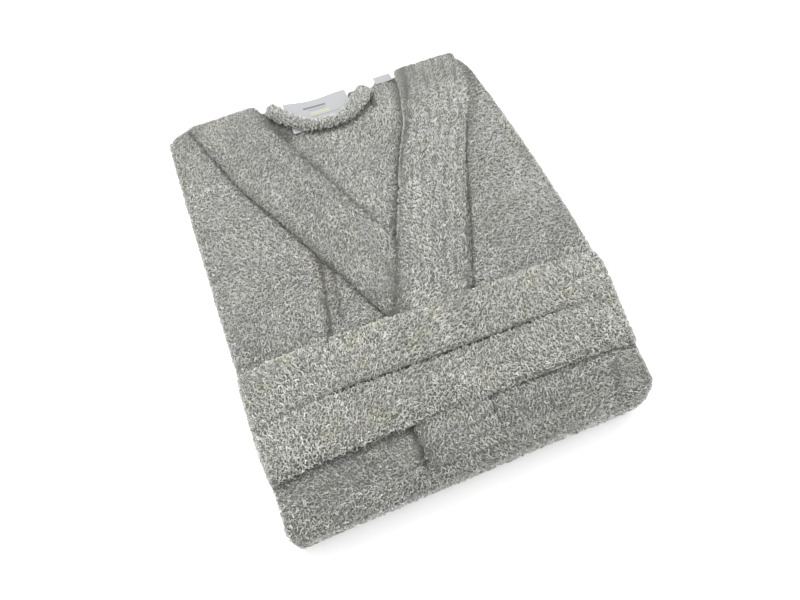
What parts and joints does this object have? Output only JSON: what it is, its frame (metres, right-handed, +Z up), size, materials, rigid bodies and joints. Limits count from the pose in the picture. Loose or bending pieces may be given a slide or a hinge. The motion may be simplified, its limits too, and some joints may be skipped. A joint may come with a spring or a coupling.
{
  "type": "folded terry bathrobe",
  "caption": "Grey terry bathrobe folded flat for a shelf, fronts crossed left over right, its belt wrapped round the pack.",
  "frame": {"origin": "on the shelf, under the middle of the folded pack", "axes": "+Z up, +Y from the waist fold to the shoulder end, +X to the wearer's left"},
  "size_m": [0.3762, 0.456, 0.0664],
  "materials": {
    "terry": "uncut cotton loops, grey melange",
    "terry_band": "uncut cotton loops, double cloth",
    "terry_belt": "long uncut cotton loops",
    "label_satin": "woven satin",
    "loop_tape": "twill tape"
  },
  "bodies": {
    "torso": {"back_panel": "terry", "left_side_fold": "terry", "right_side_fold": "terry", "left_belt_loop": "terry_band", "right_belt_loop": "terry_band", "left_sleeve": "terry", "right_sleeve": "terry", "left_cuff": "terry_band", "right_cuff": "terry_band", "left_front": "terry", "right_front": "terry", "left_front_band": "terry_band", "right_front_band": "terry_band", "collar_roll": "terry", "neck_label": "label_satin", "care_label": "label_satin", "hanging_loop": "loop_tape", "waist_turn_upper": "terry"},
    "belt": {"belt": "terry_belt"},
    "waist_turn": {"waist_turn_strip": "terry"},
    "skirt": {"left_skirt_front": "terry", "right_skirt_front": "terry", "left_skirt_band": "terry_band", "right_skirt_band": "terry_band", "left_pocket": "terry_band", "right_pocket": "terry_band", "skirt_back": "terry", "left_skirt_side": "terry", "right_skirt_side": "terry", "hem_back": "terry", "hem_front": "terry", "waist_turn_lower": "terry"}
  },
  "joints": [
    {"name": "belt_slide", "type": "slide", "parent": "torso", "child": "belt", "axis": [0, 1, 0], "range_m": [0, 0.41]},
    {"name": "skirt_unfold", "type": "hinge", "parent": "torso", "child": "waist_turn", "pos_m": [0, -0.22413, 0.05513], "axis": [-1, 0, 0], "range_deg": [0, 90]},
    {"name": "skirt_turn", "type": "hinge", "parent": "waist_turn", "child": "skirt", "pos_m": [0, -0.22413, 0.00387], "axis": [-1, 0, 0], "range_deg": [0, 90]}
  ],
  "couplings": [
    {"joint": "skirt_turn", "follows": "skirt_unfold", "ratio": 1}
  ]
}
